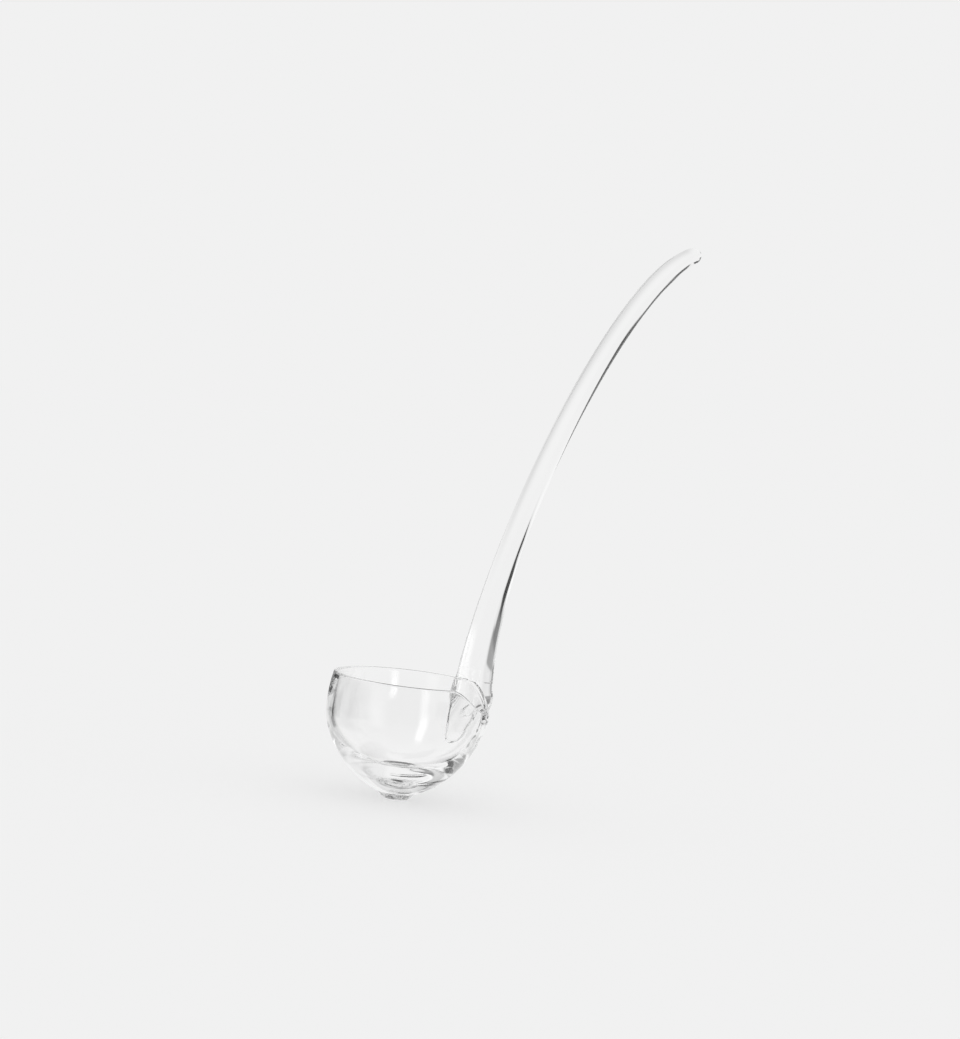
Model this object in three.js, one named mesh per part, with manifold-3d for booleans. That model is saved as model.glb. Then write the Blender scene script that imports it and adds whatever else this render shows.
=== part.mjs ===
import * as THREE from "three";
import { mergeVertices } from "three/addons/utils/BufferGeometryUtils.js";
import Module from "manifold-3d";

// Punch ladle of clear, hand-worked glass, in millimetres with +Z up along the bowl's axis.
// The origin is the middle of the ground flat under the bowl, and the handle leans towards +X.

// Bowl: a blown cup, thick at the base and thin at the fire-polished rim
const BOWL_DIAMETER = 80;
const BOWL_HEIGHT = 60.5;
const BELLY_BELOW_RIM = 18.3;
const RIM_TURN_IN = 1.7;
const RIM_THICKNESS = 2.4;
const WALL_THICKNESS = 3.9;
const BASE_THICKNESS = 11.2;
const OUTSIDE_FULLNESS = 1.7;
const INSIDE_FULLNESS = 1.9;

// Pouring lip: a dip in the rim beside the handle, drawn a little outwards
const LIP_AZIMUTH_DEGREES = -57;
const LIP_HALF_ARC_DEGREES = 43;
const LIP_LEVEL_SHARE = 0.2;
const LIP_DIP = 10.6;
const LIP_FLARE = 2.9;
const LIP_REACH_DOWN = 27;

// Pontil: the wad of glass left under the bowl, ground flat
const PONTIL_FLAT_DIAMETER = 13.5;
const PONTIL_BULGE = 3.4;
const PONTIL_RISE = 0.6;
const PONTIL_STEPS = 5;

// Handle: a solid rod drawn out of one gather, from a thick heel on the bowl to a rounded tip
const HEEL_DIAMETER = 21.2;
const HEEL_DROP = 8.5;
const HEEL_STANDOFF = 7.9;
const SHAFT_DIAMETER = 11;
const HEEL_TAPER_LENGTH = 43;
const TIP_DIAMETER = 9;
const TIP_TAPER_LENGTH = 34;
const TIP_ROUND_LENGTH = 6.5;
const TIP_OUT_FROM_HEEL = 132.5;
const TIP_ABOVE_HEEL = 239.6;
const HEEL_LEAN_DEGREES = -2;
const TIP_LEAN_DEGREES = 77;
const HEEL_PULL = 75;
const TIP_PULL = 56;

// Foot: the end of the handle's gather, pressed thin down the bowl's outside and a little towards the lip
const FOOT_WIDTH = 13;
const FOOT_THICKNESS = 3;
const FOOT_THIN_SHARE = 0.4;
const FOOT_DROP = 35;
const FOOT_PULL = 9;
const FOOT_SKEW = 2.6;

// Seal: the space kept between two pieces of glass that are fused on the real ladle
const SEAL_GAP = 0.3;

// Fineness of the facets
const BOWL_SIDES = 72;
const CUP_STEPS = 14;
const UPPER_WALL_STEPS = 7;
const RIM_STEPS = 6;
const PONTIL_SIDES = 48;
const HANDLE_RINGS = 60;
const HANDLE_SIDES = 28;

// Places worked out from the sizes
const BOWL_RADIUS = BOWL_DIAMETER / 2;
const RIM_RADIUS = BOWL_RADIUS - RIM_TURN_IN;
const BELLY_Z = BOWL_HEIGHT - BELLY_BELOW_RIM;
const RIM_CENTRE_Z = BOWL_HEIGHT - RIM_THICKNESS / 2;
const LIP_AZIMUTH = THREE.MathUtils.degToRad(LIP_AZIMUTH_DEGREES);
const LIP_HALF_ARC = THREE.MathUtils.degToRad(LIP_HALF_ARC_DEGREES);

const wasm = await Module();
wasm.setup();

// Closed triangle geometry with shared corners and no collapsed triangles
function weld(geometry) {
  geometry.deleteAttribute("normal");
  geometry.deleteAttribute("uv");
  const welded = mergeVertices(geometry, 1e-5);
  const corners = welded.getIndex().array;
  const kept = [];
  for (let i = 0; i < corners.length; i += 3) {
    const [a, b, c] = corners.slice(i, i + 3);
    if (a !== b && b !== c && c !== a) kept.push(a, b, c);
  }
  welded.setIndex(kept);
  return welded;
}

function toSolid(geometry) {
  return new wasm.Manifold(new wasm.Mesh({
    numProp: 3,
    vertProperties: Float32Array.from(geometry.getAttribute("position").array),
    triVerts: Uint32Array.from(geometry.getIndex().array),
  }));
}

function toGeometry(solid) {
  const mesh = solid.getMesh();
  const geometry = new THREE.BufferGeometry();
  geometry.setAttribute("position", new THREE.BufferAttribute(mesh.vertProperties, 3));
  geometry.setIndex(new THREE.BufferAttribute(mesh.triVerts, 1));
  return geometry;
}

// Profile turned about +Z, with +X at azimuth zero
function turn(profile, sides) {
  return new THREE.LatheGeometry(profile, sides).rotateX(Math.PI / 2);
}

// One wall of the cup from its pole to the rim's round: a full curve up to the belly, then a slight turn-in
function cupWall(poleZ, bellyRadius, rimRadius, fullness) {
  const points = [];
  for (let i = 0; i <= CUP_STEPS; i++) {
    const angle = (Math.PI / 2) * (i / CUP_STEPS);
    const out = Math.sin(angle) ** (2 / fullness);
    const down = Math.max(Math.cos(angle), 0) ** (2 / fullness);
    const radius = i === 0 ? 0 : bellyRadius * out;
    points.push(new THREE.Vector2(radius, BELLY_Z - (BELLY_Z - poleZ) * down));
  }
  for (let i = 1; i <= UPPER_WALL_STEPS; i++) {
    const up = i / UPPER_WALL_STEPS;
    const radius = bellyRadius - (bellyRadius - rimRadius) * up * up;
    points.push(new THREE.Vector2(radius, BELLY_Z + (RIM_CENTRE_Z - BELLY_Z) * up));
  }
  return points;
}

// The cup's outside, grown by an allowance
function outsideWall(grown) {
  return cupWall(PONTIL_RISE - grown, BOWL_RADIUS + grown, RIM_RADIUS + grown, OUTSIDE_FULLNESS);
}

// Radius of the bowl's outside at a height, read between the points of its wall
function outsideRadius(z) {
  const wall = outsideWall(0);
  const above = wall.findIndex((point) => point.y >= z);
  const [low, high] = [wall[above - 1], wall[above]];
  return THREE.MathUtils.mapLinear(z, low.y, high.y, low.x, high.x);
}

// Draws the rim down and out at the pouring lip, fading away round the rim and down the wall
function drawPouringLip(geometry) {
  const place = geometry.getAttribute("position");
  for (let i = 0; i < place.count; i++) {
    const [x, y, z] = [place.getX(i), place.getY(i), place.getZ(i)];
    const aside = Math.abs(Math.atan2(y, x) - LIP_AZIMUTH) / LIP_HALF_ARC;
    const round = 1 - THREE.MathUtils.smoothstep(aside, LIP_LEVEL_SHARE, 1);
    const down = THREE.MathUtils.smoothstep(z, BOWL_HEIGHT - LIP_REACH_DOWN, BOWL_HEIGHT);
    const radius = Math.hypot(x, y);
    const outward = radius > 0 ? 1 + (LIP_FLARE * round * down) / radius : 1;
    place.setXYZ(i, x * outward, y * outward, z - LIP_DIP * round * down);
  }
  return geometry;
}

function bowlGeometry() {
  const floorZ = PONTIL_RISE + BASE_THICKNESS;
  const inside = cupWall(floorZ, BOWL_RADIUS - WALL_THICKNESS, RIM_RADIUS - RIM_THICKNESS, INSIDE_FULLNESS);
  const rim = [];
  for (let i = 1; i < RIM_STEPS; i++) {
    const angle = (Math.PI * i) / RIM_STEPS;
    const radius = RIM_RADIUS - (RIM_THICKNESS / 2) * (1 - Math.cos(angle));
    rim.push(new THREE.Vector2(radius, RIM_CENTRE_Z + (RIM_THICKNESS / 2) * Math.sin(angle)));
  }
  const profile = [...outsideWall(0), ...rim, ...inside.reverse()];
  return drawPouringLip(weld(turn(profile, BOWL_SIDES)));
}

// The bowl's outside filled in and grown by the seal, which shapes every face that is fused to the bowl
function bowlEnvelope() {
  const topZ = BOWL_HEIGHT + SEAL_GAP;
  const top = [new THREE.Vector2(RIM_RADIUS + SEAL_GAP, topZ), new THREE.Vector2(0, topZ)];
  return toSolid(drawPouringLip(weld(turn([...outsideWall(SEAL_GAP), ...top], BOWL_SIDES))));
}

// A low wad whose round side runs out into the bowl's curve, hollowed on top by the bowl that sits in it
function pontilGeometry(envelope) {
  const flatRadius = PONTIL_FLAT_DIAMETER / 2;
  const outerRadius = flatRadius + PONTIL_BULGE;
  const seatZ = PONTIL_RISE + BASE_THICKNESS;
  const side = new THREE.QuadraticBezierCurve(
    new THREE.Vector2(flatRadius, 0),
    new THREE.Vector2(outerRadius - PONTIL_BULGE / 3, PONTIL_RISE / 2),
    new THREE.Vector2(outerRadius, PONTIL_RISE + PONTIL_BULGE / 2),
  );
  const top = [new THREE.Vector2(outerRadius, seatZ), new THREE.Vector2(0, seatZ)];
  const profile = [new THREE.Vector2(0, 0), ...side.getPoints(PONTIL_STEPS), ...top];
  return toGeometry(toSolid(weld(turn(profile, PONTIL_SIDES))).subtract(envelope));
}

// Point in the handle's plane, and the step away from it in a direction that leans out from +Z
const inPlane = (out, up) => new THREE.Vector3(out, 0, up);
const leaning = (degrees, length) => {
  const lean = THREE.MathUtils.degToRad(degrees);
  return inPlane(Math.sin(lean) * length, Math.cos(lean) * length);
};

// Centreline of the handle: up the bowl's outside from the end of the foot to the heel, then out to the tip
function handleCurves() {
  const footZ = BOWL_HEIGHT - FOOT_DROP;
  const footEnd = inPlane(outsideRadius(footZ), footZ);
  const upTheWall = inPlane(outsideRadius(footZ + FOOT_PULL), footZ + FOOT_PULL);
  const heel = inPlane(RIM_RADIUS + HEEL_STANDOFF, BOWL_HEIGHT - HEEL_DROP);
  const tip = heel.clone().add(inPlane(TIP_OUT_FROM_HEEL, TIP_ABOVE_HEEL));
  const foot = new THREE.CubicBezierCurve3(
    footEnd,
    upTheWall,
    heel.clone().sub(leaning(HEEL_LEAN_DEGREES, FOOT_PULL)),
    heel,
  );
  const shaft = new THREE.CubicBezierCurve3(
    heel,
    heel.clone().add(leaning(HEEL_LEAN_DEGREES, HEEL_PULL)),
    tip.clone().sub(leaning(TIP_LEAN_DEGREES, TIP_PULL)),
    tip,
  );
  return { foot, shaft };
}

// Half round that closes a rod's end: nought at the end itself, one from the round's length onwards
const endRound = (distance, length) => Math.sqrt(1 - (1 - Math.min(distance / length, 1)) ** 2);

// Half width, half depth and step towards the lip of the handle at a distance from the end of the foot
function handleSection(distance, footLength, totalLength) {
  const aboveHeel = Math.max(distance - footLength, 0);
  const thinning = THREE.MathUtils.smoothstep(distance, totalLength - TIP_TAPER_LENGTH, totalLength);
  const tipLoss = (SHAFT_DIAMETER - TIP_DIAMETER) * thinning;
  const heelSwell = (HEEL_DIAMETER - SHAFT_DIAMETER) * Math.exp(-aboveHeel / HEEL_TAPER_LENGTH);
  const rod = (SHAFT_DIAMETER + heelSwell - tipLoss) / 2;
  const widening = THREE.MathUtils.smoothstep(distance, 0, footLength);
  const thickening = THREE.MathUtils.smoothstep(distance, FOOT_THIN_SHARE * footLength, footLength);
  const width = THREE.MathUtils.lerp(FOOT_WIDTH / 2, rod, widening);
  const depth = THREE.MathUtils.lerp(FOOT_THICKNESS, rod, thickening);
  const round = endRound(distance, FOOT_WIDTH / 2) * endRound(totalLength - distance, TIP_ROUND_LENGTH);
  return { width: width * round, depth: depth * round, aside: FOOT_SKEW * (1 - widening) };
}

// Rings of the handle strung on its centreline and bunched at the two rounded ends
function handleGeometry(envelope) {
  const { foot, shaft } = handleCurves();
  const path = new THREE.CurvePath();
  path.add(foot);
  path.add(shaft);
  const footLength = foot.getLength();
  const totalLength = path.getLength();
  const points = [path.getPoint(0).setY(-FOOT_SKEW)];
  for (let i = 1; i < HANDLE_RINGS; i++) {
    const along = (1 - Math.cos((Math.PI * i) / HANDLE_RINGS)) / 2;
    const centre = path.getPoint(along);
    const tangent = path.getTangent(along);
    const outward = new THREE.Vector3(tangent.z, 0, -tangent.x);
    const { width, depth, aside } = handleSection(along * totalLength, footLength, totalLength);
    for (let k = 0; k < HANDLE_SIDES; k++) {
      const angle = (2 * Math.PI * k) / HANDLE_SIDES;
      const point = centre.clone().addScaledVector(outward, depth * Math.cos(angle));
      point.y += width * Math.sin(angle) - aside;
      points.push(point);
    }
  }
  points.push(path.getPoint(1));
  return toGeometry(toSolid(ringSkin(points, HANDLE_RINGS - 1, HANDLE_SIDES)).subtract(envelope));
}

// Skin over a first end point, rings of equal sides and a last end point
function ringSkin(points, rings, sides) {
  const corners = [];
  const at = (ring, k) => 1 + ring * sides + (k % sides);
  const last = points.length - 1;
  for (let k = 0; k < sides; k++) {
    corners.push(0, at(0, k + 1), at(0, k));
    for (let ring = 0; ring < rings - 1; ring++) {
      corners.push(at(ring, k), at(ring, k + 1), at(ring + 1, k + 1));
      corners.push(at(ring, k), at(ring + 1, k + 1), at(ring + 1, k));
    }
    corners.push(last, at(rings - 1, k), at(rings - 1, k + 1));
  }
  const geometry = new THREE.BufferGeometry().setFromPoints(points);
  geometry.setIndex(corners);
  return geometry;
}

function glassMesh(name, geometry, color) {
  const material = new THREE.MeshStandardMaterial({ color, roughness: 0.04, metalness: 0 });
  material.transparent = true;
  material.opacity = 0.35;
  geometry.computeVertexNormals();
  const mesh = new THREE.Mesh(geometry, material);
  mesh.name = name;
  return mesh;
}

const envelope = bowlEnvelope();
const ladle = new THREE.Group();
ladle.add(glassMesh("bowl", bowlGeometry(), 0xf2f6f5));
ladle.add(glassMesh("handle", handleGeometry(envelope), 0xf0f5f4));
ladle.add(glassMesh("pontil", pontilGeometry(envelope), 0xe8eeec));

export default ladle;
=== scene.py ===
import math

import bpy
import numpy as np
from mathutils import Matrix, Vector


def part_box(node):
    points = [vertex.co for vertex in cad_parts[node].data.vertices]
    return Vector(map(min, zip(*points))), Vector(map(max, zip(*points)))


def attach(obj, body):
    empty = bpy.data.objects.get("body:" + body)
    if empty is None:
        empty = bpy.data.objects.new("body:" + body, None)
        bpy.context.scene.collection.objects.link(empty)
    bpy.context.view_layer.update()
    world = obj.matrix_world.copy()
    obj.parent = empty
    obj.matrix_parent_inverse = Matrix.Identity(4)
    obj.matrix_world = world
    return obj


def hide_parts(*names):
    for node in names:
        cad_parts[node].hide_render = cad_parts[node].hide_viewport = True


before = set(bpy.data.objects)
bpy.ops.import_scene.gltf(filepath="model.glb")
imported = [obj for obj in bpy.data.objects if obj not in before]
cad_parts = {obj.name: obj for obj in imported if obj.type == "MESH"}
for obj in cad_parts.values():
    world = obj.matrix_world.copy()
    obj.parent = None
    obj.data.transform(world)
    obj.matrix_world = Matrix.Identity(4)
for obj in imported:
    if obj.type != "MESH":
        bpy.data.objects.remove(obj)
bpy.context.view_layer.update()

# Punch ladle of clear, hand-worked glass: three closed pieces that meet exactly at their two fused seals.
# Everything is in metres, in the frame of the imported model.
MM = 0.001

# Bowl: a blown cup, thick at the base and thin at the fire-polished rim
bowl_low, bowl_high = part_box("bowl")
BOWL_RADIUS = bowl_high.x
BOWL_HEIGHT = bowl_high.z
BASE_RISE = bowl_low.z
BELLY_Z = BOWL_HEIGHT - 18.3 * MM
RIM_RADIUS = BOWL_RADIUS - 1.7 * MM
RIM_THICKNESS = 2.4 * MM
WALL_THICKNESS = 3.9 * MM
BASE_THICKNESS = 11.2 * MM
OUTSIDE_FULLNESS = 1.7
INSIDE_FULLNESS = 1.9
RIM_ROUND = RIM_THICKNESS / 2
RIM_MIDDLE = RIM_RADIUS - RIM_ROUND
RIM_CENTRE_Z = BOWL_HEIGHT - RIM_ROUND

# Pouring lip: a dip in the rim beside the handle, drawn a little outwards
LIP_AZIMUTH = math.radians(-57)
LIP_HALF_ARC = math.radians(43)
LIP_LEVEL_SHARE = 0.2
LIP_DIP = 10.6 * MM
LIP_FLARE = 2.87 * MM
LIP_REACH_DOWN = 27 * MM

# Pontil: the wad of glass left under the bowl, ground flat
PONTIL_FLAT_RADIUS = 6.6 * MM
PONTIL_SEAL_RADIUS = 10.5 * MM
PONTIL_CORNER_PULL = 0.6 * MM
PONTIL_SEAL_PULL_SHARE = 0.35
PONTIL_HOLLOW = 0.7 * MM
PONTIL_UNEVENNESS = 0.25 * MM

# Two sets of waves that wear the pontil's flat, in radians to the metre
WEAR_IN_X = 900.0
WEAR_IN_Y = 700.0
WEAR_SHIFT = 1.0
SLANTED_WEAR_IN_X = 500.0
SLANTED_WEAR_IN_Y = 1300.0

# Handle: a solid rod drawn out of one gather, from a thick heel on the bowl to a rounded tip
HEEL_DIAMETER = 21.2 * MM
HEEL_DROP = 8.5 * MM
HEEL_STANDOFF = 7.9 * MM
SHAFT_DIAMETER = 11 * MM
HEEL_TAPER_LENGTH = 43 * MM
TIP_DIAMETER = 9 * MM
TIP_TAPER_LENGTH = 34 * MM
TIP_ROUND_LENGTH = 6.5 * MM
TIP_OUT_FROM_HEEL = 132.45 * MM
TIP_ABOVE_HEEL = 239.58 * MM
HEEL_LEAN = math.radians(-2)
TIP_LEAN = math.radians(77)
HEEL_PULL = 75 * MM
TIP_PULL = 56 * MM

# Foot: the end of the handle's gather, pressed flat down the outside of the bowl
FOOT_WIDTH = 13 * MM
FOOT_THICKNESS = 3 * MM
FOOT_DROP = 35 * MM
FOOT_PULL = 9 * MM
FOOT_SKEW = 2.6 * MM
FOOT_ROUND_LENGTH = FOOT_WIDTH / 2
FOOT_SQUARENESS = 0.7
FOOT_THIN_SHARE = 0.4

# Fillet that runs round the handle's seal, and the height over which it dies away below the rim
SEAL_FILLET = 1.6 * MM
FILLET_FADE = 22 * MM

# Fineness of the surfaces: steps along them, the part of the bowl with fine steps, and numbers of points
FINE_STEP = 0.4 * MM
COARSE_STEP = 1.2 * MM
FINE_HALF_ARC = math.radians(24)
FINE_BELOW_FOOT = 4 * MM
SHARP_ANGLE = math.radians(60)
CUP_POINTS = 34
RIM_STEPS = 18
INSIDE_POINTS = 60
FOOT_POINTS = 36
TIP_POINTS = 17
HALF_SECTION_STEPS = 36
SEAT_STEPS = 20
PONTIL_SIDES = 96
PONTIL_FLAT_POINTS = 25
PONTIL_SIDE_POINTS = 16
PONTIL_SEAT_POINTS = 12

# Fineness and bounds of the searches for places on the surfaces
FOOT_CURVE_POINTS = 600
SHAFT_CURVE_POINTS = 2400
RUN_ON = 10 * MM
SECTION_SAMPLES = 160
SEARCH_STEP = FINE_STEP / 4
LIP_STEPS = 40
BISECTIONS = 40
NEWTON_STEPS = 10
LEAST_SLOPE_SQUARED = 0.1
DEEP_IN_BOWL = -15 * MM
CLEAR_OF_BOWL = 4 * MM
WIDEST_SEAT = 16 * MM
PROBE = 0.01 * MM
TINY = 1e-9

# Glass: how clear it is, how clear its smears are, how rough they are and how high its surface waves. The
# ground pontil's low clearness and dark smears are painted shade that darkens the flat under the bowl;
# its roughness and waves are the real ground finish.
CLEAR_GLASS = {"clear": 0.998, "smear_and_shade": 0.99, "rough": 0.01, "wave": 0.01 * MM}
GROUND_GLASS_PAINTED_SHADE = {"clear": 0.7, "smear_and_shade": 0.12, "rough": 0.3, "wave": 0.3 * MM}
GLASS_IOR = 1.5
GLASS_BOUNCES = 40
SHADOW_CLEARNESS = 0.93

# Smears to the metre in X, Y and Z, their pattern, and the part of its range over which they come and go
BOWL_GRAIN = (60, 60, 60)
HANDLE_GRAIN = (60, 60, 25)
# On the pontil these smears are patches of painted shade
PONTIL_GRAIN = (180, 180, 500)
SMEAR_DETAIL = 3.0
SMEAR_DISTORTION = 1.0
SMEAR_LOW = 0.35
SMEAR_HIGH = 0.65

# Camera, found from the photograph's outlines of the bowl, the rim and the handle
CAMERA_AZIMUTH = math.radians(-46)
CAMERA_ELEVATION = math.radians(3.529)
CAMERA_ROLL = math.radians(7.101)
CAMERA_DISTANCE = 1.5
CAMERA_LENS_MM = 103.95
CAMERA_SENSOR_MM = 36
LADLE_LEFT_OF_MIDDLE = 42.403 * MM
LADLE_BELOW_MIDDLE = 139.484 * MM
LADLE_DROP = 0.5 * MM

# Studio
STUDIO_LIGHT = 1.0
BACKDROP_GREY = 0.879
FLOOR_SIZE = 8.0
FLOOR_GAP = 0.05 * MM
SURROUND_RADIUS = 0.38
SURROUND_STEP_ROUND = 1.0
SURROUND_STEP_UP = 0.5

# What the glass shows of the studio. Each card has its brightness, its left and right azimuth with their
# softness, its low and high elevation with theirs, and how far it leans to the right per degree upwards.
# Angles are in degrees from the middle of the backdrop, positive to the right and up.
# A later card lies over an earlier one.
SURROUND_GLOW = 0.9
SURROUND_CARDS = {
    "front of the room": (0.58, 120, 225, 20, -60, 28, 8, 0),
    "right wall": (0.72, 28, 75, 14, -12, 16, 6, 0),
    "left wall": (0.67, -64, -34, 5, -50, 14, 3, 0),
    "near end of the left wall": (0.8, -36, -17, 3, -26, 14, 3, 0),
    "far end of the table": (0.34, -47, -20, 2.5, -14.5, -7, 0.5, 0),
    "grey strip": (0.18, -48, -23.5, 2.5, -8.5, 1, 1.5, 0),
    "black gap": (0.0, -36, -20.5, 1.2, -2, 8, 1.2, 0),
    "top of the black gap": (0.0, -29, -21, 1.2, 6, 11.3, 0.8, 0),
    "softbox above the gap": (0.97, -62, -27, 6, 15, 44, 2, 0),
    "softbox left of the gap": (1.05, -71, -38, 1.5, 5, 16, 2, 0),
    "dark ceiling": (0.0, -48, 10, 3, 43, 56, 2, 0),
    "dark ceiling at the left": (0.0, -48, -4, 3, 33.5, 56, 1.5, 0),
    "dark ceiling at the right": (0.0, 8, 16.5, 1, 40.5, 50, 1.5, 0),
    "black card at the left": (0.02, -88, -72, 3, -13, 10, 3, 0),
    "grey card far left": (0.3, -126, -88, 3, -20, 2, 3, 0),
    "dark card low at the left": (0.3, -60, -44, 2, -28, -18, 1.5, 0),
    "thin dark card": (0.12, -72, -49.5, 1, -19, -12, 1.5, 0),
    "dark card low at the right": (0.3, 30, 46, 3, -45, -36, 2, 0),
    "black card at the right": (0.5, 72, 126, 8, 0, 40, 8, 0),
    "grey card low at the right": (0.62, 86, 125, 8, -42, -18, 8, 0),
    "shadow under the bowl": (0.05, -110, 30, 15, -70, -53, 2, 0),
    "softbox beside the camera": (3.0, 157, 169, 4, -56, -22, 5, -0.3),
    "window behind the camera": (1.2, 216, 232, 8, -32, -10, 6, 0),
}


# Curves shared by the pieces

def smoothstep(x, low, high):
    """Rises smoothly from 0 at the low bound to 1 at the high one."""
    t = np.clip((x - low) / (high - low), 0.0, 1.0)
    return t * t * (3.0 - 2.0 * t)


def cup_radius(z, pole_z, belly_radius, rim_radius, fullness):
    """Radius of one wall of the cup at a height: a full curve up to the belly, then a slight turn-in."""
    down = np.clip((BELLY_Z - z) / (BELLY_Z - pole_z), 0.0, 1.0)
    up = np.clip((z - BELLY_Z) / (RIM_CENTRE_Z - BELLY_Z), 0.0, 1.0)
    full = belly_radius * (1.0 - down ** fullness) ** (1.0 / fullness)
    return full - (belly_radius - rim_radius) * up * up


def cup_height(radius, pole_z, belly_radius, fullness):
    """Height of one wall of the cup at a radius, below the belly."""
    out = np.clip(radius / belly_radius, 0.0, 1.0)
    return BELLY_Z - (BELLY_Z - pole_z) * (1.0 - out ** fullness) ** (1.0 / fullness)


def outside_radius(z):
    return cup_radius(z, BASE_RISE, BOWL_RADIUS, RIM_RADIUS, OUTSIDE_FULLNESS)


def outside_height(radius):
    return cup_height(radius, BASE_RISE, BOWL_RADIUS, OUTSIDE_FULLNESS)


def lip_round(azimuth):
    """How far the lip is drawn round the rim: 1 over its middle and 0 past its ends."""
    return 1.0 - smoothstep(np.abs(azimuth - LIP_AZIMUTH) / LIP_HALF_ARC, LIP_LEVEL_SHARE, 1.0)


def lip_reach(z):
    """How far the lip is drawn down the wall: 1 at the rim's top and 0 below its reach."""
    return smoothstep(z, BOWL_HEIGHT - LIP_REACH_DOWN, BOWL_HEIGHT)


def draw_pouring_lip(points):
    """Draws the rim down and out at the pouring lip, fading away round the rim and down the wall."""
    azimuth = np.arctan2(points[..., 1], points[..., 0])
    drawn = lip_round(azimuth) * lip_reach(points[..., 2])
    out = np.stack([np.cos(azimuth), np.sin(azimuth), np.zeros_like(azimuth)], axis=-1)
    moved = points + out * (LIP_FLARE * drawn)[..., None]
    moved[..., 2] -= LIP_DIP * drawn
    return moved


def before_lip(points):
    """Radius and height that points near the wall had before the pouring lip was drawn."""
    rounded = lip_round(np.arctan2(points[..., 1], points[..., 0]))
    z = points[..., 2]
    drawn = rounded * lip_reach(z)
    for _ in range(LIP_STEPS):
        drawn = rounded * lip_reach(z + LIP_DIP * drawn)
    return np.hypot(points[..., 0], points[..., 1]) - LIP_FLARE * drawn, z + LIP_DIP * drawn


def bowl_field(points):
    """Distance outside the bowl, taken as filled up to its rim, and negative within."""
    radius, z = before_lip(points)
    low = np.minimum(z, RIM_CENTRE_Z)
    slope = (outside_radius(low) - outside_radius(low - PROBE)) / PROBE
    wall = (radius - outside_radius(low)) / np.sqrt(1.0 + slope * slope)
    rim = np.hypot(np.maximum(radius - RIM_MIDDLE, 0.0), z - RIM_CENTRE_Z) - RIM_ROUND
    return np.where(z > RIM_CENTRE_Z, rim, wall)


def fillet_size(points):
    """The fillet's size, which dies away below the rim."""
    _, z = before_lip(points)
    return SEAL_FILLET * (1.0 - smoothstep(z, RIM_CENTRE_Z - FILLET_FADE, RIM_CENTRE_Z))


# Centreline and section of the handle

def cubic(points, count):
    """A Bezier curve through its first and last points, pulled towards the two between."""
    t = np.linspace(0.0, 1.0, count)[:, None]
    a, b, c, d = (np.array(p) for p in points)
    return a * (1 - t) ** 3 + 3 * b * t * (1 - t) ** 2 + 3 * c * t * t * (1 - t) + d * t ** 3


def leaning(lean, length):
    """A step of a length in the XZ plane, leaning outwards from upright."""
    return np.array([math.sin(lean), math.cos(lean)]) * length


def handle_centreline():
    """Distances along the handle from the end of its foot, their points and directions in the XZ plane,
    and the lengths of the foot and of the whole. Both ends run on straight for a little way."""
    foot_z = BOWL_HEIGHT - FOOT_DROP
    foot_end = np.array([float(outside_radius(foot_z)), foot_z])
    up_the_wall = np.array([float(outside_radius(foot_z + FOOT_PULL)), foot_z + FOOT_PULL])
    heel = np.array([RIM_RADIUS + HEEL_STANDOFF, BOWL_HEIGHT - HEEL_DROP])
    tip = heel + np.array([TIP_OUT_FROM_HEEL, TIP_ABOVE_HEEL])
    below_heel = heel - leaning(HEEL_LEAN, FOOT_PULL)
    above_heel = heel + leaning(HEEL_LEAN, HEEL_PULL)
    below_tip = tip - leaning(TIP_LEAN, TIP_PULL)
    foot = cubic([foot_end, up_the_wall, below_heel, heel], FOOT_CURVE_POINTS)
    shaft = cubic([heel, above_heel, below_tip, tip], SHAFT_CURVE_POINTS)
    points = np.concatenate([foot, shaft[1:]])
    steps = np.linalg.norm(np.diff(points, axis=0), axis=1)
    along = np.concatenate([[0.0], np.cumsum(steps)])
    ahead = np.gradient(points, along, axis=0)
    ahead /= np.linalg.norm(ahead, axis=1)[:, None]
    along = np.concatenate([[-RUN_ON], along, [along[-1] + RUN_ON]])
    before = points[0] - ahead[0] * RUN_ON
    after = points[-1] + ahead[-1] * RUN_ON
    points = np.concatenate([[before], points, [after]])
    ahead = np.concatenate([ahead[:1], ahead, ahead[-1:]])
    foot_length = steps[: len(foot) - 1].sum()
    return along, points, ahead, foot_length, steps.sum()


ALONG, CENTRES, AHEAD, FOOT_LENGTH, HANDLE_LENGTH = handle_centreline()
# How far along the handle its centreline passes the height of the rim
RIM_TOP_ALONG = float(np.interp(BOWL_HEIGHT, CENTRES[:, 1], ALONG))


def foot_skew(s):
    """How far the foot runs to the lip's side of the handle's plane."""
    return -FOOT_SKEW * (1.0 - smoothstep(s, 0.0, FOOT_LENGTH))


def handle_point(s, n, y):
    """Point at a distance s along the handle, n outwards from its centreline and y to its side."""
    x = np.interp(s, ALONG, CENTRES[:, 0])
    z = np.interp(s, ALONG, CENTRES[:, 1])
    ahead_x = np.interp(s, ALONG, AHEAD[:, 0])
    ahead_z = np.interp(s, ALONG, AHEAD[:, 1])
    return np.stack(np.broadcast_arrays(x + ahead_z * n, y + foot_skew(s), z - ahead_x * n), axis=-1)


def handle_section(s):
    """Half width and half depth of the handle, without the rounds at its two ends."""
    above_heel = np.maximum(s - FOOT_LENGTH, 0.0)
    swell = (HEEL_DIAMETER - SHAFT_DIAMETER) * np.exp(-above_heel / HEEL_TAPER_LENGTH)
    to_tip = smoothstep(s, HANDLE_LENGTH - TIP_TAPER_LENGTH, HANDLE_LENGTH)
    loss = (SHAFT_DIAMETER - TIP_DIAMETER) * to_tip
    rod = (SHAFT_DIAMETER + swell - loss) / 2
    widening = smoothstep(s, 0.0, FOOT_LENGTH)
    thickening = smoothstep(s, FOOT_THIN_SHARE * FOOT_LENGTH, FOOT_LENGTH)
    width = FOOT_WIDTH / 2 + (rod - FOOT_WIDTH / 2) * widening
    depth = FOOT_THICKNESS + (rod - FOOT_THICKNESS) * thickening
    return width, depth


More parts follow.
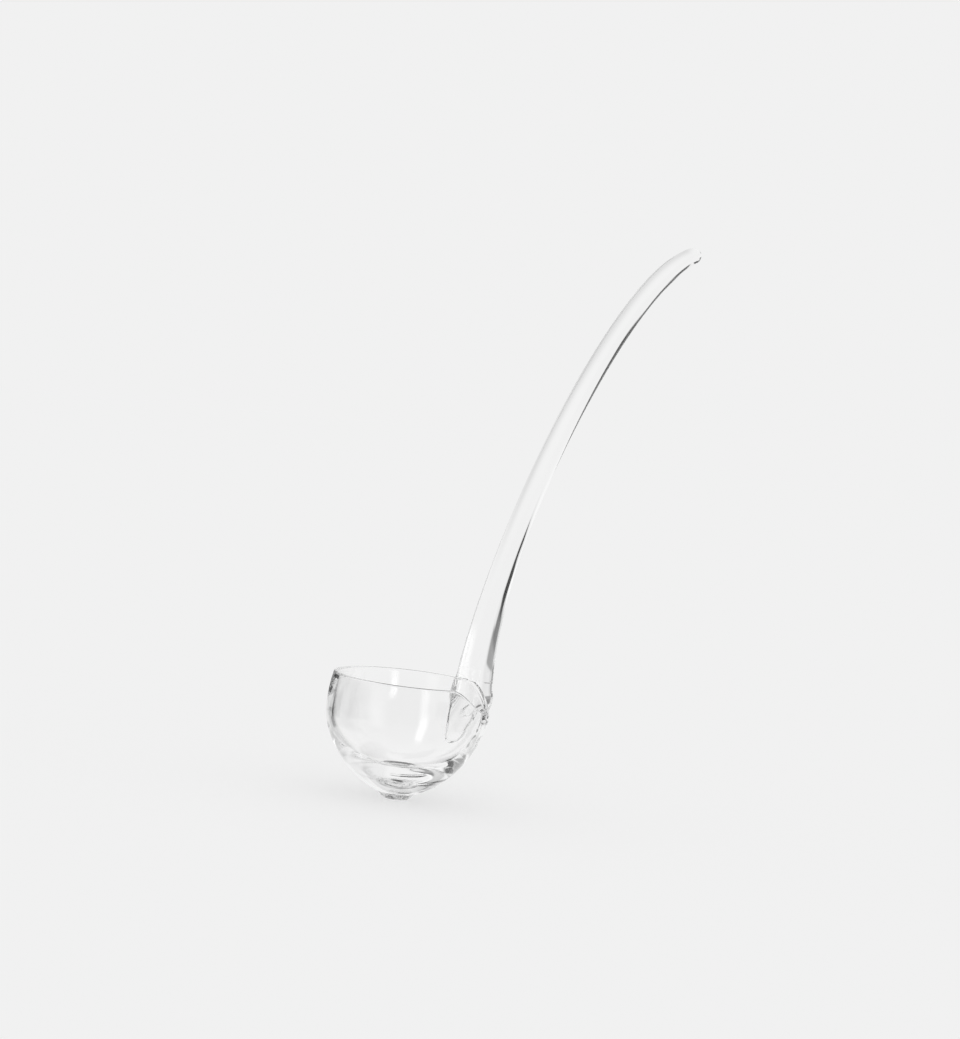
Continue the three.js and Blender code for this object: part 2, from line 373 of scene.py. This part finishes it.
def end_reach(s):
    """How far into each end's round a distance lies, as a share of that round's length."""
    foot = np.maximum(FOOT_ROUND_LENGTH - s, 0.0) / FOOT_ROUND_LENGTH
    tip = np.maximum(s - HANDLE_LENGTH + TIP_ROUND_LENGTH, 0.0) / TIP_ROUND_LENGTH
    return foot, tip


def squareness(s, n):
    """Power of the section's curve: 2 is an oval, and more is squarer, as on the foot's outside."""
    outward = 2.0 + FOOT_SQUARENESS * (1.0 - smoothstep(s, 0.0, FOOT_LENGTH))
    return np.where(n > 0.0, outward, 2.0)


def handle_field(s, n, y):
    """Distance outside the handle, and negative within."""
    width, depth = handle_section(s)
    foot, tip = end_reach(s)
    power = squareness(s, n)
    plan = np.sqrt((y / width) ** 2 + foot ** 2 + tip ** 2) + TINY
    deep = np.abs(n) / depth + TINY
    reach = (plan ** power + deep ** power) ** (1.0 / power)
    across = (plan / reach) ** (power - 1.0) / plan
    out = (deep / reach) ** (power - 1.0) / depth
    aside = across * y / width ** 2
    to_foot = across * foot / FOOT_ROUND_LENGTH
    to_tip = across * tip / TIP_ROUND_LENGTH
    slope = np.sqrt(sum(part ** 2 for part in (out, aside, to_foot, to_tip))) + TINY
    return (reach - 1.0) / slope


def handle_oval(s, angle):
    """Outward and sideways place on the handle's own section, before it meets the bowl."""
    width, depth = handle_section(s)
    foot, tip = end_reach(s)
    end = np.minimum(np.sqrt(foot ** 2 + tip ** 2), 1.0)
    out, aside = np.cos(angle), np.sin(angle)
    power = squareness(s, out)
    deepest = depth * (1.0 - end ** power) ** (1.0 / power)
    widest = width * np.sqrt(1.0 - end ** 2)
    n = deepest * np.sign(out) * np.abs(out) ** (2.0 / power)
    y = widest * np.sign(aside) * np.abs(aside) ** (2.0 / power)
    return n, y


def joined_field(s, n, y):
    """Distance outside the handle and the bowl together, with a fillet in the corner between them."""
    points = handle_point(s, n, y)
    to_handle = handle_field(s, n, y)
    to_bowl = bowl_field(points)
    size = fillet_size(points) + TINY
    near = np.maximum(size - np.abs(to_handle - to_bowl), 0.0) / size
    return np.minimum(to_handle, to_bowl) - near * near * size / 4


def bisect(is_past, low, high):
    """Where is_past turns from false to true between two arrays of bounds."""
    for _ in range(BISECTIONS):
        middle = (low + high) / 2
        past = is_past(middle)
        high = np.where(past, middle, high)
        low = np.where(past, low, middle)
    return (low + high) / 2


def wall_offset(s, y):
    """How far out from the handle's centreline the bowl's outside lies."""
    shape = np.broadcast(s, y).shape
    low = np.full(shape, DEEP_IN_BOWL)
    high = np.full(shape, CLEAR_OF_BOWL)
    return bisect(lambda n: bowl_field(handle_point(s, n, y)) > 0.0, low, high)


def onto_joined(s, n, y):
    """Moves places in a section of the handle onto the filleted surface."""
    for _ in range(NEWTON_STEPS):
        here = joined_field(s, n, y)
        slope_n = (joined_field(s, n + PROBE, y) - here) / PROBE
        slope_y = (joined_field(s, n, y + PROBE) - here) / PROBE
        step = here / np.maximum(slope_n ** 2 + slope_y ** 2, LEAST_SLOPE_SQUARED)
        n = n - step * slope_n
        y = y - step * slope_y
    return n, y


def even_steps(n, y, count):
    """The same open lines of places, divided into equal steps."""
    lengths = np.hypot(np.diff(n, axis=1), np.diff(y, axis=1))
    run = np.concatenate([np.zeros((len(n), 1)), np.cumsum(lengths, axis=1)], axis=1)
    shares = np.linspace(0.0, 1.0, count + 1)
    even_n = np.array([np.interp(shares * r[-1], r, v) for r, v in zip(run, n)])
    even_y = np.array([np.interp(shares * r[-1], r, v) for r, v in zip(run, y)])
    return even_n, even_y


def half_section(s, side):
    """One half of the handle's sections on the bowl, from the outermost place to the seal's edge,
    and the angles at which they meet the bowl. The edge is where the fillet runs out on the wall."""

    def past_seal(y):
        n = wall_offset(s, side * y)
        return handle_field(s, n, side * y) > fillet_size(handle_point(s, n, side * y))

    edge_y = side * bisect(past_seal, np.zeros_like(s), np.full_like(s, WIDEST_SEAT))
    edge_n = wall_offset(s, edge_y)

    def height_over_bowl(angle):
        n, y = handle_oval(s, angle)
        return bowl_field(handle_point(s, n, y))

    nought = np.zeros_like(s)
    half_turn = np.full_like(s, math.pi)
    meets = bisect(lambda a: height_over_bowl(side * a) < 0.0, nought, half_turn)
    meets = np.where(s <= 0.0, math.pi / 2, meets)
    leaves = bisect(lambda a: height_over_bowl(side * a) < SEAL_FILLET, nought, meets)
    meet_n, meet_y = handle_oval(s, side * meets)
    shares = np.linspace(0.0, 1.0, SECTION_SAMPLES)
    angles = meets[:, None] * shares
    s_all = np.repeat(s[:, None], SECTION_SAMPLES, axis=1)
    blend = smoothstep(angles, leaves[:, None], meets[:, None])
    n, y = handle_oval(s_all, side * angles)
    n = n + (edge_n - meet_n)[:, None] * blend
    y = y + (edge_y - meet_y)[:, None] * blend
    n[:, :-1], y[:, :-1] = onto_joined(s_all[:, :-1], n[:, :-1], y[:, :-1])
    n, y = even_steps(n, y, HALF_SECTION_STEPS)
    s_all = s_all[:, : HALF_SECTION_STEPS - 1]
    n[:, 1:-1], y[:, 1:-1] = onto_joined(s_all, n[:, 1:-1], y[:, 1:-1])
    y[:, 0] = 0.0
    return n, y, meets


def seated_rings(s):
    """Closed sections of the handle on the bowl, and the angle at which the last one meets it."""
    left_n, left_y, _ = half_section(s, -1.0)
    right_n, right_y, meets = half_section(s, 1.0)
    shares = np.linspace(0.0, 1.0, SEAT_STEPS + 1)[1:-1]
    seat_y = right_y[:, -1:] + (left_y[:, -1:] - right_y[:, -1:]) * shares
    seat_n = wall_offset(s[:, None], seat_y)
    n = np.concatenate([left_n[:, ::-1], right_n[:, 1:], seat_n], axis=1)
    y = np.concatenate([left_y[:, ::-1], right_y[:, 1:], seat_y], axis=1)
    return handle_point(s[:, None], n, y), meets[-1]


def free_rings(s, meets):
    """Closed sections of the handle above the rim."""
    seen = np.linspace(-meets, meets, 2 * HALF_SECTION_STEPS + 1)
    behind = np.linspace(meets, 2 * math.pi - meets, SEAT_STEPS + 1)[1:-1]
    angles = np.concatenate([seen, behind])[None, :]
    s_all = np.repeat(s[:, None], angles.shape[1], axis=1)
    n, y = handle_oval(s_all, angles)
    return handle_point(s_all, n, y)


# Meshes

def make_object(name, points, faces, materials, face_materials):
    """A smooth mesh whose faces have the materials with the given numbers."""
    mesh = bpy.data.meshes.new(name)
    mesh.from_pydata(points.tolist(), [], faces)
    for material in materials:
        mesh.materials.append(material)
    mesh.polygons.foreach_set("material_index", np.asarray(face_materials, dtype=np.int32))
    mesh.shade_smooth()
    mesh.set_sharp_from_angle(angle=SHARP_ANGLE)
    mesh.validate()
    obj = bpy.data.objects.new(name, mesh)
    bpy.context.scene.collection.objects.link(obj)
    return obj


def strung_faces(rings, around):
    """Faces of a skin over a first end point, rings of equal sides and a last end point, ring by ring."""

    def at(ring, k):
        return 1 + ring * around + k % around

    last = 1 + rings * around
    faces = [(0, at(0, k + 1), at(0, k)) for k in range(around)]
    for ring in range(rings - 1):
        above = ring + 1
        faces += [(at(ring, k), at(ring, k + 1), at(above, k + 1), at(above, k)) for k in range(around)]
    faces += [(at(rings - 1, k), at(rings - 1, k + 1), last) for k in range(around)]
    return faces


def nearest_along(points):
    """Distance along the handle, outward and sideways places of points near it."""
    along = np.arange(-SEAL_FILLET * 2, RIM_TOP_ALONG + FINE_BELOW_FOOT, SEARCH_STEP)
    centres = handle_point(along, 0.0, 0.0)[:, [0, 2]]
    gaps = np.linalg.norm(points[:, None, [0, 2]] - centres[None], axis=2)
    s = along[gaps.argmin(axis=1)]
    ahead = np.stack([np.interp(s, ALONG, AHEAD[:, 0]), np.interp(s, ALONG, AHEAD[:, 1])], axis=1)
    off = points[:, [0, 2]] - handle_point(s, 0.0, 0.0)[:, [0, 2]]
    s = s + (off * ahead).sum(axis=1)
    n = off[:, 0] * ahead[:, 1] - off[:, 1] * ahead[:, 0]
    return s, n, points[:, 1] - foot_skew(s)


def bowl_profile():
    """Radius and height of the bowl's section, up the outside, round the rim and down the inside,
    and how many of its rows are on the pontil."""
    inner_pole = BASE_RISE + BASE_THICKNESS
    inner_belly = BOWL_RADIUS - WALL_THICKNESS
    inner_rim = RIM_RADIUS - RIM_THICKNESS
    fine_from = BOWL_HEIGHT - FOOT_DROP - FINE_BELOW_FOOT
    under = np.linspace(0.0, PONTIL_SEAL_RADIUS, PONTIL_SEAT_POINTS)[1:]
    cup = np.linspace(PONTIL_SEAL_RADIUS, float(outside_radius(fine_from)), CUP_POINTS)[1:]
    outer_low = np.concatenate([under, cup])
    rows = [np.stack([outer_low, outside_height(outer_low)], axis=1)]
    heights = np.arange(fine_from + FINE_STEP, RIM_CENTRE_Z, FINE_STEP)
    rows.append(np.stack([outside_radius(heights), heights], axis=1))
    turn = np.linspace(0.0, math.pi, RIM_STEPS + 1)
    rim_out = RIM_MIDDLE + RIM_ROUND * np.cos(turn)
    rim_up = RIM_CENTRE_Z + RIM_ROUND * np.sin(turn)
    rows.append(np.stack([rim_out, rim_up], axis=1))
    heights = np.arange(RIM_CENTRE_Z - COARSE_STEP, BELLY_Z, -COARSE_STEP)
    inside = cup_radius(heights, inner_pole, inner_belly, inner_rim, INSIDE_FULLNESS)
    rows.append(np.stack([inside, heights], axis=1))
    swing = np.linspace(math.pi / 2, 0.0, INSIDE_POINTS)[:-1]
    out = inner_belly * np.sin(swing) ** (2 / INSIDE_FULLNESS)
    rows.append(np.stack([out, cup_height(out, inner_pole, inner_belly, INSIDE_FULLNESS)], axis=1))
    return np.concatenate(rows), len(under)


def turned(profile, turn):
    """Rings of points of a section that is turned about the bowl's axis."""
    radius, height = profile[:, :1], profile[:, 1:]
    return np.stack(np.broadcast_arrays(radius * np.cos(turn), radius * np.sin(turn), height), axis=-1)


def make_bowl(glass, seal):
    """The blown cup, finer near the handle, with seals where the pontil and the handle are fused on."""
    profile, rows_on_pontil = bowl_profile()
    rest = 2 * math.pi - 2 * FINE_HALF_ARC
    fine_count = round(2 * FINE_HALF_ARC * BOWL_RADIUS / FINE_STEP)
    coarse_count = round(rest * BOWL_RADIUS / COARSE_STEP)
    fine = np.linspace(-FINE_HALF_ARC, FINE_HALF_ARC, fine_count)
    coarse = np.linspace(FINE_HALF_ARC, FINE_HALF_ARC + rest, coarse_count)[1:-1]
    turn = np.concatenate([fine, coarse])
    walls = turned(profile, turn)
    poles = np.array([[0.0, 0.0, BASE_RISE], [0.0, 0.0, BASE_RISE + BASE_THICKNESS]])
    walls = draw_pouring_lip(walls).reshape(-1, 3)
    points = np.concatenate([poles[:1], walls, poles[1:]])
    faces = strung_faces(len(profile), len(turn))
    middles = np.array([points[list(face)].mean(axis=0) for face in faces])
    ring = np.arange(len(faces)) // len(turn)
    on_pontil = ring < rows_on_pontil
    outside = ring < len(profile) - RIM_STEPS // 2
    near = outside & (np.abs(np.arctan2(middles[:, 1], middles[:, 0])) < FINE_HALF_ARC)
    near &= middles[:, 2] > BOWL_HEIGHT - FOOT_DROP - FINE_BELOW_FOOT
    near &= bowl_field(middles) > -RIM_ROUND / 2
    under_handle = np.zeros(len(faces), dtype=bool)
    s, n, y = nearest_along(middles[near])
    under_handle[near] = handle_field(s, n, y) < fillet_size(middles[near])
    return make_object("blown_bowl", points, faces, [glass, seal], on_pontil | under_handle)


def make_handle(glass, seal):
    """The foot, heel, rod and tip as one skin, with a seal where it lies on the bowl."""
    sweep = np.linspace(0.0, math.pi / 2, FOOT_POINTS)[1:]
    foot = -SEAL_FILLET + (SEAL_FILLET + FOOT_ROUND_LENGTH) * (1.0 - np.cos(sweep))
    up_wall = np.arange(FOOT_ROUND_LENGTH + FINE_STEP, RIM_TOP_ALONG, FINE_STEP)
    shaft = np.arange(up_wall[-1] + FINE_STEP, HANDLE_LENGTH - TIP_ROUND_LENGTH, FINE_STEP)
    sweep = np.linspace(0.0, math.pi / 2, TIP_POINTS)[:-1]
    tip = HANDLE_LENGTH - TIP_ROUND_LENGTH * (1.0 - np.sin(sweep))
    on_bowl = np.concatenate([foot, up_wall])
    seated, meets = seated_rings(on_bowl)
    free = free_rings(np.concatenate([shaft, tip]), meets)
    around = seated.shape[1]
    foot_end_n = wall_offset(np.float64(-SEAL_FILLET), np.float64(0.0))
    foot_end = handle_point(-SEAL_FILLET, foot_end_n, 0.0)
    tip_end = handle_point(HANDLE_LENGTH, 0.0, 0.0)
    rings = np.concatenate([seated, free])
    points = np.concatenate([foot_end[None], rings.reshape(-1, 3), tip_end[None]])
    faces = strung_faces(len(rings), around)
    column = np.arange(len(faces)) % around
    ring = np.arange(len(faces)) // around
    seat = (column >= 2 * HALF_SECTION_STEPS) & (ring < len(seated))
    return make_object("drawn_handle", points, faces, [glass, seal], seat)


def pontil_dents(x, y):
    """How far the ground flat is hollowed and worn, nothing at its edge."""
    out = np.clip(np.hypot(x, y) / PONTIL_FLAT_RADIUS, 0.0, 1.0)
    straight = np.sin(WEAR_IN_X * x + WEAR_SHIFT) * np.cos(WEAR_IN_Y * y)
    slanted = np.sin(SLANTED_WEAR_IN_Y * y + SLANTED_WEAR_IN_X * x)
    return (PONTIL_HOLLOW + PONTIL_UNEVENNESS * (straight + slanted)) * (1.0 - out ** 2) ** 2


def make_pontil(glass, seal):
    """A low wad whose round side runs out into the bowl's curve, with the bowl seated in its top."""
    edge_z = float(outside_height(PONTIL_SEAL_RADIUS))
    inner_z = float(outside_height(PONTIL_SEAL_RADIUS - PROBE))
    slope = (edge_z - inner_z) / PROBE
    flat = np.linspace(0.0, PONTIL_FLAT_RADIUS, PONTIL_FLAT_POINTS)[1:]
    pull_in = PONTIL_SEAL_PULL_SHARE * (edge_z / slope)
    side = cubic([
        (PONTIL_FLAT_RADIUS, 0.0),
        (PONTIL_FLAT_RADIUS + PONTIL_CORNER_PULL, 0.0),
        (PONTIL_SEAL_RADIUS - pull_in, edge_z - pull_in * slope),
        (PONTIL_SEAL_RADIUS, edge_z),
    ], PONTIL_SIDE_POINTS)
    seat = np.linspace(PONTIL_SEAL_RADIUS, 0.0, PONTIL_SEAT_POINTS)[1:-1]
    profile = np.concatenate([
        np.stack([flat, np.zeros_like(flat)], axis=1),
        side[1:],
        np.stack([seat, outside_height(seat)], axis=1),
    ])
    turn = np.linspace(0.0, 2 * math.pi, PONTIL_SIDES, endpoint=False)
    rings = turned(profile, turn)
    dented = rings[: len(flat)]
    dented[..., 2] += pontil_dents(dented[..., 0], dented[..., 1])
    middle = [[0.0, 0.0, float(pontil_dents(0.0, 0.0))]]
    points = np.concatenate([middle, rings.reshape(-1, 3), [[0.0, 0.0, BASE_RISE]]])
    faces = strung_faces(len(profile), PONTIL_SIDES)
    ring = np.arange(len(faces)) // PONTIL_SIDES
    seated = ring >= len(flat) + len(side) - 1
    return make_object("ground_pontil", points, faces, [glass, seal], seated)


# Materials

def grey(value):
    return (value, value, value, 1.0)


def add_node(tree, kind, inputs=(), **settings):
    node = tree.nodes.new(kind)
    for name, value in settings.items():
        setattr(node, name, value)
    for name, value in inputs:
        node.inputs[name].default_value = value
    return node


def glass_material(name, clear, smear_and_shade, rough, wave, grain):
    """Glass whose tint and roughness vary with smears and whose surface waves slightly. On the pontil the
    dark tint and dark smears are painted shade.
    Shadow and diffuse rays pass it almost unchanged, so that it casts only a faint shadow."""
    material = bpy.data.materials.new(name)
    material.use_nodes = True
    tree = material.node_tree
    shader = tree.nodes["Principled BSDF"]
    shader.inputs["Transmission Weight"].default_value = 1.0
    shader.inputs["IOR"].default_value = GLASS_IOR
    place = add_node(tree, "ShaderNodeTexCoord")
    stretch = add_node(tree, "ShaderNodeMapping", [("Scale", grain)])
    pattern = [("Scale", 1.0), ("Detail", SMEAR_DETAIL), ("Distortion", SMEAR_DISTORTION)]
    smear_and_shade_pattern = add_node(tree, "ShaderNodeTexNoise", pattern)
    span = [("From Min", SMEAR_LOW), ("From Max", SMEAR_HIGH)]
    tint = add_node(tree, "ShaderNodeMapRange", span + [("To Min", smear_and_shade), ("To Max", clear)])
    roughness = add_node(tree, "ShaderNodeMapRange", span + [("To Min", rough), ("To Max", 0.0)])
    bump = add_node(tree, "ShaderNodeBump", [("Strength", 1.0), ("Distance", wave)])
    links = tree.links
    links.new(place.outputs["Object"], stretch.inputs["Vector"])
    links.new(stretch.outputs["Vector"], smear_and_shade_pattern.inputs["Vector"])
    links.new(smear_and_shade_pattern.outputs["Fac"], tint.inputs["Value"])
    links.new(smear_and_shade_pattern.outputs["Fac"], roughness.inputs["Value"])
    links.new(smear_and_shade_pattern.outputs["Fac"], bump.inputs["Height"])
    links.new(tint.outputs["Result"], shader.inputs["Base Color"])
    links.new(roughness.outputs["Result"], shader.inputs["Roughness"])
    links.new(bump.outputs["Normal"], shader.inputs["Normal"])
    path = add_node(tree, "ShaderNodeLightPath")
    shade = add_node(tree, "ShaderNodeBsdfTransparent", [("Color", grey(SHADOW_CLEARNESS))])
    mix = add_node(tree, "ShaderNodeMixShader")
    either = add_node(tree, "ShaderNodeMath", operation="MAXIMUM")
    links.new(path.outputs["Is Shadow Ray"], either.inputs[0])
    links.new(path.outputs["Is Diffuse Ray"], either.inputs[1])
    links.new(either.outputs["Value"], mix.inputs["Fac"])
    links.new(shader.outputs["BSDF"], mix.inputs[1])
    links.new(shade.outputs["BSDF"], mix.inputs[2])
    links.new(mix.outputs["Shader"], tree.nodes["Material Output"].inputs["Surface"])
    return material


def seal_material():
    """The inside of a fused seal, where nothing shows."""
    material = bpy.data.materials.new("seal")
    material.use_nodes = True
    nodes = material.node_tree.nodes
    nodes.remove(nodes["Principled BSDF"])
    clear = nodes.new("ShaderNodeBsdfTransparent")
    material.node_tree.links.new(clear.outputs[0], nodes["Material Output"].inputs["Surface"])
    return material


# Studio

def make_world():
    """An even light all round, with a pale grey backdrop."""
    world = bpy.data.worlds.new("studio")
    world.use_nodes = True
    nodes, links = world.node_tree.nodes, world.node_tree.links
    path = nodes.new("ShaderNodeLightPath")
    mix = nodes.new("ShaderNodeMix")
    mix.data_type = "RGBA"
    mix.inputs["A"].default_value = grey(STUDIO_LIGHT)
    mix.inputs["B"].default_value = grey(BACKDROP_GREY)
    links.new(path.outputs["Is Camera Ray"], mix.inputs["Factor"])
    links.new(mix.outputs["Result"], nodes["Background"].inputs["Color"])
    bpy.context.scene.world = world


def between(x, low, high, soft):
    """1 between two bounds and 0 outside, with soft edges."""
    return smoothstep(x, low - soft, low + soft) * (1.0 - smoothstep(x, high - soft, high + soft))


def surround_glow(azimuth, elevation):
    """Brightness of the surround in a direction, in degrees: the cards one over the other."""
    glow = np.full(azimuth.shape, SURROUND_GLOW)
    for value, left, right, soft, low, high, soft_up, lean in SURROUND_CARDS.values():
        covered = np.zeros_like(glow)
        upright = azimuth - lean * (elevation - (low + high) / 2)
        for turn in (-360.0, 0.0, 360.0):
            covered = np.maximum(covered, between(upright + turn, left, right, soft))
        covered = covered * between(elevation, low, high, soft_up)
        glow = glow + (value - glow) * covered
    return glow


def surround_material():
    """Gives off each point's own brightness."""
    material = bpy.data.materials.new("surround")
    material.use_nodes = True
    nodes, links = material.node_tree.nodes, material.node_tree.links
    nodes.remove(nodes["Principled BSDF"])
    lit = nodes.new("ShaderNodeEmission")
    brightness = nodes.new("ShaderNodeAttribute")
    brightness.attribute_name = "glow"
    links.new(brightness.outputs["Fac"], lit.inputs["Strength"])
    links.new(lit.outputs[0], nodes["Material Output"].inputs["Surface"])
    material.cycles.emission_sampling = "NONE"
    return material


def make_surround():
    """The studio's walls, cards and softboxes, as a fixed shell that only the glass sees."""
    round_steps = np.arange(-180.0, 180.0, SURROUND_STEP_ROUND)
    up_steps = np.arange(-90.0 + SURROUND_STEP_UP, 90.0, SURROUND_STEP_UP)
    azimuth, elevation = np.meshgrid(round_steps, up_steps)
    a, e = np.radians(azimuth), np.radians(elevation)
    shell = np.stack([np.sin(a) * np.cos(e), np.sin(e), -np.cos(a) * np.cos(e)], axis=-1)
    bottom, top = np.array([[0.0, -1.0, 0.0]]), np.array([[0.0, 1.0, 0.0]])
    points = np.concatenate([bottom, shell.reshape(-1, 3), top]) * SURROUND_RADIUS
    mesh = bpy.data.meshes.new("surround")
    mesh.from_pydata(points.tolist(), [], strung_faces(*azimuth.shape))
    mesh.materials.append(surround_material())
    poles = surround_glow(np.zeros(2), np.array([-90.0, 90.0]))
    shell_glow = surround_glow(azimuth, elevation).ravel()
    glow = mesh.attributes.new("glow", "FLOAT", "POINT")
    glow.data.foreach_set("value", np.concatenate([poles[:1], shell_glow, poles[1:]]))
    surround = bpy.data.objects.new("surround", mesh)
    bpy.context.scene.collection.objects.link(surround)
    surround.matrix_world = camera_pose() @ Matrix.Translation((0.0, 0.0, -CAMERA_DISTANCE))
    surround.visible_camera = False
    surround.visible_diffuse = False
    surround.visible_shadow = False


def make_floor():
    """A floor as pale as the backdrop, which the glass does not show."""
    bpy.ops.mesh.primitive_plane_add(size=FLOOR_SIZE, location=(0.0, 0.0, -FLOOR_GAP))
    floor = bpy.context.object
    floor.name = "floor"
    material = bpy.data.materials.new("pale_floor")
    material.use_nodes = True
    shader = material.node_tree.nodes["Principled BSDF"]
    shader.inputs["Base Color"].default_value = grey(BACKDROP_GREY)
    shader.inputs["Roughness"].default_value = 1.0
    shader.inputs["Specular IOR Level"].default_value = 0.0
    floor.data.materials.append(material)
    floor.visible_glossy = False
    floor.visible_transmission = False


def camera_pose():
    """Where the camera stood for the photograph."""
    a, e = CAMERA_AZIMUTH, CAMERA_ELEVATION
    forward = Vector((-math.sin(a) * math.cos(e), math.cos(a) * math.cos(e), -math.sin(e)))
    level = Vector((math.cos(a), math.sin(a), 0.0))
    upright = level.cross(forward)
    right = level * math.cos(CAMERA_ROLL) + upright * math.sin(CAMERA_ROLL)
    up = upright * math.cos(CAMERA_ROLL) - level * math.sin(CAMERA_ROLL)
    place = right * LADLE_LEFT_OF_MIDDLE + up * LADLE_BELOW_MIDDLE - forward * CAMERA_DISTANCE
    place.z -= LADLE_DROP
    axes = Matrix((right, up, -forward)).transposed().to_4x4()
    return Matrix.Translation(place) @ axes


def make_camera():
    data = bpy.data.cameras.new("camera")
    data.sensor_width = CAMERA_SENSOR_MM
    data.lens = CAMERA_LENS_MM
    camera = bpy.data.objects.new("camera", data)
    bpy.context.scene.collection.objects.link(camera)
    camera.matrix_world = camera_pose()
    bpy.context.scene.camera = camera


seal = seal_material()
bowl = make_bowl(glass_material("bowl_glass", grain=BOWL_GRAIN, **CLEAR_GLASS), seal)
handle = make_handle(glass_material("handle_glass", grain=HANDLE_GRAIN, **CLEAR_GLASS), seal)
# The pontil's glass is tinted dark with painted shade
pontil = make_pontil(glass_material("pontil_glass", grain=PONTIL_GRAIN, **GROUND_GLASS_PAINTED_SHADE), seal)
for piece, node in ((bowl, "bowl"), (handle, "handle"), (pontil, "pontil")):
    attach(piece, "root")
    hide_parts(node)

make_world()
make_floor()
make_camera()
make_surround()
bpy.context.scene.view_settings.view_transform = "Standard"
# Light runs a long way round inside thick glass before it leaves
cycles = bpy.context.scene.cycles
cycles.max_bounces = GLASS_BOUNCES
cycles.glossy_bounces = GLASS_BOUNCES
cycles.transmission_bounces = GLASS_BOUNCES
cycles.transparent_max_bounces = GLASS_BOUNCES
